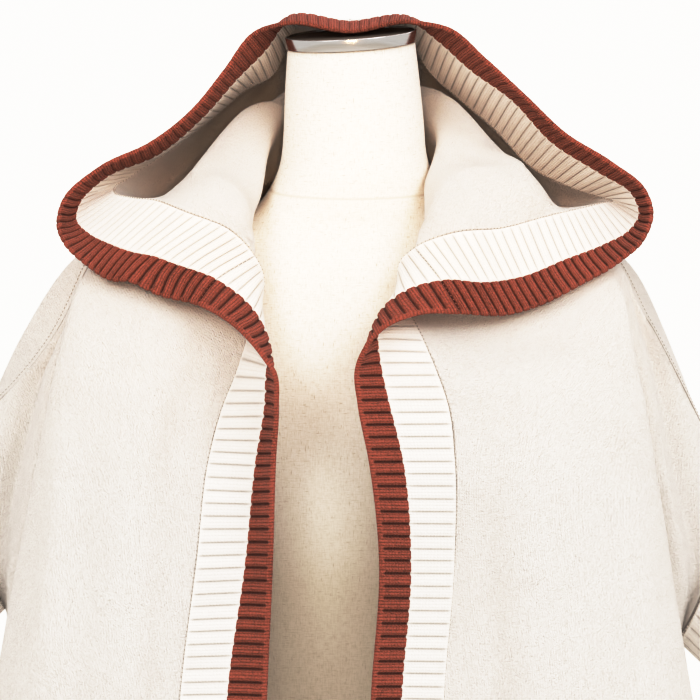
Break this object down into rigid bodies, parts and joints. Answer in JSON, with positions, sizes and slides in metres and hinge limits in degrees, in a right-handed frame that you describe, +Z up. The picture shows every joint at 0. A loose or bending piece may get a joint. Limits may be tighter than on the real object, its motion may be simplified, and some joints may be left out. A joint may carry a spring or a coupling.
{
  "type": "knit cape on dress form",
  "caption": "Open-front hooded knit cape with grown-on sleeves and two-tone ribbed bands, worn on a limbless linen dress form with a pole and round base.",
  "frame": {"origin": "middle of the underside of the stand's round base", "axes": "+Z up along the pole, -Y out of the cape's open front, +X to the viewer's right"},
  "size_m": [0.738, 0.3479, 1.5292],
  "materials": {
    "cream_knit": "felted wool knit, matt with a short nap",
    "rust_knit": "ribbed wool knit, matt",
    "linen": "plain woven linen with slubs, matt",
    "stand_steel": "brushed",
    "neck_dark": "stained, matt"
  },
  "bodies": {
    "root": {"front_left": "cream_knit", "front_right": "cream_knit", "back": "cream_knit", "hood_left": "cream_knit", "hood_right": "cream_knit", "hood_band_cream": "cream_knit", "hood_band_rust": "rust_knit", "front_band_cream_left": "cream_knit", "front_band_cream_right": "cream_knit", "front_band_rust_left": "rust_knit", "front_band_rust_right": "rust_knit", "cuff_left": "cream_knit", "cuff_right": "cream_knit", "dress_form": "linen", "neck_band": "stand_steel", "neck_plate": "neck_dark", "pole": "stand_steel", "pole_collar": "stand_steel", "base_plate": "stand_steel"}
  },
  "joints": []
}
